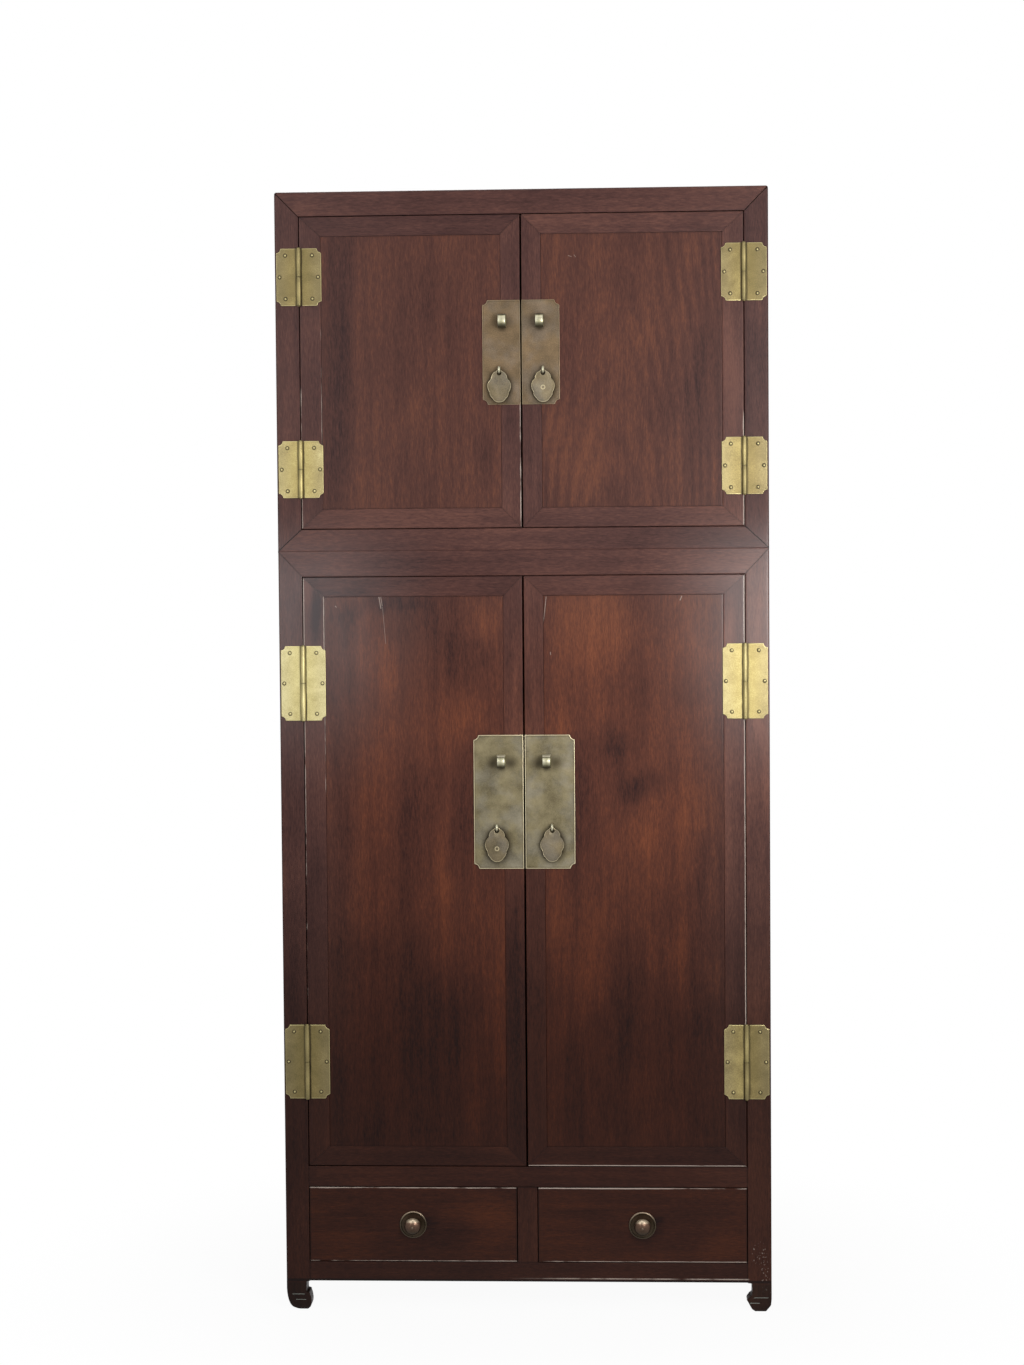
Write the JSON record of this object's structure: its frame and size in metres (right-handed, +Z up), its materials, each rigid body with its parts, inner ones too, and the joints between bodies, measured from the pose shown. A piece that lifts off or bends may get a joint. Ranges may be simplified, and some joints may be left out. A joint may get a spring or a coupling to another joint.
{
  "type": "cabinet",
  "caption": "Tall compound cabinet in dark hardwood: a two-door chest on a two-door cabinet with drawers, hoof feet and brass fittings.",
  "frame": {"origin": "on the floor under the middle of the whole cabinet's bounding box, knobs included", "axes": "+Z up, the doors and drawers face -Y, +X to the right of someone facing them"},
  "size_m": [0.93, 0.515, 2.134],
  "materials": {
    "dark_wood": "dark purplish-brown hardwood, satin polish",
    "red_wood": "reddish-brown hardwood with soft figured grain, satin polish",
    "plain_wood": "plain softer wood, thin stain",
    "brass": "aged brass, mottled",
    "bronze": "brown patina over copper alloy"
  },
  "bodies": {
    "lower_cabinet": {"lower_posts": "dark_wood", "lower_top_frame": "dark_wood", "lower_top_board": "plain_wood", "lower_front_rails": "dark_wood", "lower_side_rails": "dark_wood", "lower_back_rails": "dark_wood", "lower_side_panels": "red_wood", "lower_back_panels": "plain_wood", "lower_floor": "plain_wood", "lower_shelf": "plain_wood", "drawer_runners": "plain_wood", "lower_fixed_hinge_leaves": "brass", "lower_hinge_pins": "brass"},
    "upper_chest": {"upper_posts": "dark_wood", "upper_top_frame": "dark_wood", "upper_base_frame": "dark_wood", "upper_top_and_floor_boards": "plain_wood", "upper_side_panels": "red_wood", "upper_back_panel": "plain_wood", "upper_shelf": "plain_wood", "upper_fixed_hinge_leaves": "brass", "upper_hinge_pins": "brass"},
    "upper_left_door": {"upper_left_door_frame": "dark_wood", "upper_left_door_panel": "red_wood", "upper_left_door_leaves": "brass", "upper_left_lock_plate": "brass", "upper_left_lock_staple": "brass", "upper_left_pull_eye": "brass"},
    "upper_left_drop": {"upper_left_pull_drop": "brass"},
    "upper_right_door": {"upper_right_door_frame": "dark_wood", "upper_right_door_panel": "red_wood", "upper_right_door_leaves": "brass", "upper_right_lock_plate": "brass", "upper_right_lock_staple": "brass", "upper_right_pull_eye": "brass"},
    "upper_right_drop": {"upper_right_pull_drop": "brass"},
    "lower_left_door": {"lower_left_door_frame": "dark_wood", "lower_left_door_panel": "red_wood", "lower_left_door_leaves": "brass", "lower_left_lock_plate": "brass", "lower_left_lock_staple": "brass", "lower_left_pull_eye": "brass"},
    "lower_left_drop": {"lower_left_pull_drop": "brass"},
    "lower_right_door": {"lower_right_door_frame": "dark_wood", "lower_right_door_panel": "red_wood", "lower_right_door_leaves": "brass", "lower_right_lock_plate": "brass", "lower_right_lock_staple": "brass", "lower_right_pull_eye": "brass"},
    "lower_right_drop": {"lower_right_pull_drop": "brass"},
    "left_drawer": {"left_drawer_front": "red_wood", "left_drawer_box": "plain_wood", "left_drawer_bottom": "plain_wood", "left_drawer_rose": "bronze", "left_drawer_knob": "bronze"},
    "right_drawer": {"right_drawer_front": "red_wood", "right_drawer_box": "plain_wood", "right_drawer_bottom": "plain_wood", "right_drawer_rose": "bronze", "right_drawer_knob": "bronze"}
  },
  "joints": [
    {"name": "chest_lift", "type": "slide", "parent": "lower_cabinet", "child": "upper_chest", "axis": [0, 0, 1], "range_m": [0, 0.1]},
    {"name": "upper_left_door_hinge", "type": "hinge", "parent": "upper_chest", "child": "upper_left_door", "pos_m": [-0.4192, -0.2325, 1.7925], "axis": [0, 0, -1], "range_deg": [0, 175]},
    {"name": "upper_left_drop_swing", "type": "hinge", "parent": "upper_left_door", "child": "upper_left_drop", "pos_m": [-0.0413, -0.2367, 1.7945], "axis": [-1, 0, 0], "range_deg": [0, 80]},
    {"name": "upper_right_door_hinge", "type": "hinge", "parent": "upper_chest", "child": "upper_right_door", "pos_m": [0.4192, -0.2325, 1.7925], "axis": [0, 0, 1], "range_deg": [0, 175]},
    {"name": "upper_right_drop_swing", "type": "hinge", "parent": "upper_right_door", "child": "upper_right_drop", "pos_m": [0.0413, -0.2367, 1.7945], "axis": [-1, 0, 0], "range_deg": [0, 80]},
    {"name": "lower_left_door_hinge", "type": "hinge", "parent": "lower_cabinet", "child": "lower_left_door", "pos_m": [-0.4192, -0.2325, 0.843], "axis": [0, 0, -1], "range_deg": [0, 175]},
    {"name": "lower_left_drop_swing", "type": "hinge", "parent": "lower_left_door", "child": "lower_left_drop", "pos_m": [-0.0525, -0.2367, 0.9295], "axis": [-1, 0, 0], "range_deg": [0, 80]},
    {"name": "lower_right_door_hinge", "type": "hinge", "parent": "lower_cabinet", "child": "lower_right_door", "pos_m": [0.4192, -0.2325, 0.843], "axis": [0, 0, 1], "range_deg": [0, 175]},
    {"name": "lower_right_drop_swing", "type": "hinge", "parent": "lower_right_door", "child": "lower_right_drop", "pos_m": [0.0525, -0.2367, 0.9295], "axis": [-1, 0, 0], "range_deg": [0, 80]},
    {"name": "left_drawer_slide", "type": "slide", "parent": "lower_cabinet", "child": "left_drawer", "axis": [0, -1, 0], "range_m": [0, 0.3]},
    {"name": "right_drawer_slide", "type": "slide", "parent": "lower_cabinet", "child": "right_drawer", "axis": [0, -1, 0], "range_m": [0, 0.3]}
  ]
}
